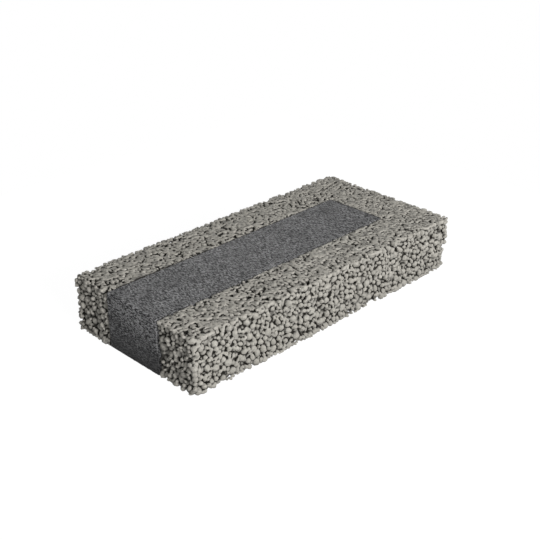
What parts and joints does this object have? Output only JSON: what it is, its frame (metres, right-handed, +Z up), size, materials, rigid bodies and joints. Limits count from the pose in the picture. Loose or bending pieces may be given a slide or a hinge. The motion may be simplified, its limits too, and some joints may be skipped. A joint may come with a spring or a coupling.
{
  "type": "insulated concrete block",
  "caption": "Flat block of coarse lightweight concrete, cast in a U round a grey foam core that is bare on the bed faces and the open end, for the corner of an insulated wall.",
  "frame": {"origin": "middle of the lower bed face", "axes": "+X along the length, from the open end to the closed end; +Y across the leaves; +Z up, from the lower bed face to the upper one"},
  "size_m": [0.59, 0.28, 0.095],
  "materials": {
    "aggregate_concrete": "open-textured granules in cement film, matt",
    "grey_foam": "cut bead foam, dark grey, slight sheen"
  },
  "bodies": {
    "root": {"concrete_body": "aggregate_concrete", "insulation_core": "grey_foam"}
  },
  "joints": []
}
